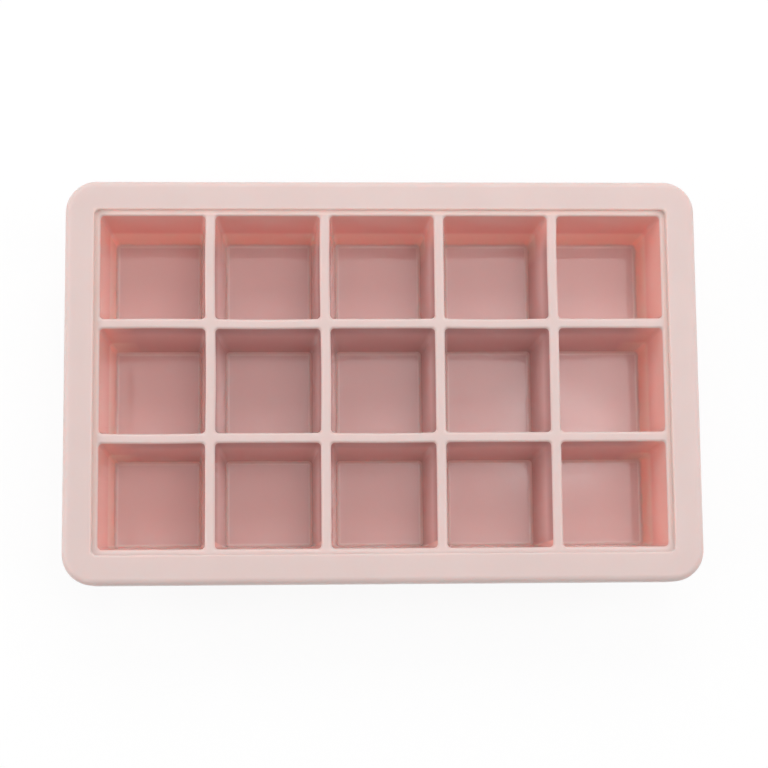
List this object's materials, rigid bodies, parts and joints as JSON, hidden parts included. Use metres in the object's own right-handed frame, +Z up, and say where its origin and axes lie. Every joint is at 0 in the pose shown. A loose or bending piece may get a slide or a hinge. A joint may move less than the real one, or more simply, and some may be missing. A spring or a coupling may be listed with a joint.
{
  "type": "freezer portion tray",
  "caption": "Soft silicone tray of deep square drafted cells with a wide raised rim and lid seat, stiffened by a moulded-in wire ring, for freezing small portions of baby food.",
  "frame": {"origin": "middle of the flat base that the cells stand on", "axes": "+X along the rows of cells (the long side), +Y across them, +Z up out of the cells"},
  "size_m": [0.1934, 0.1234, 0.0356],
  "materials": {
    "pink_silicone": "satin",
    "wire_steel": "satin"
  },
  "bodies": {
    "root": {"silicone_tray": "pink_silicone", "rim_frame": "wire_steel"}
  },
  "joints": []
}
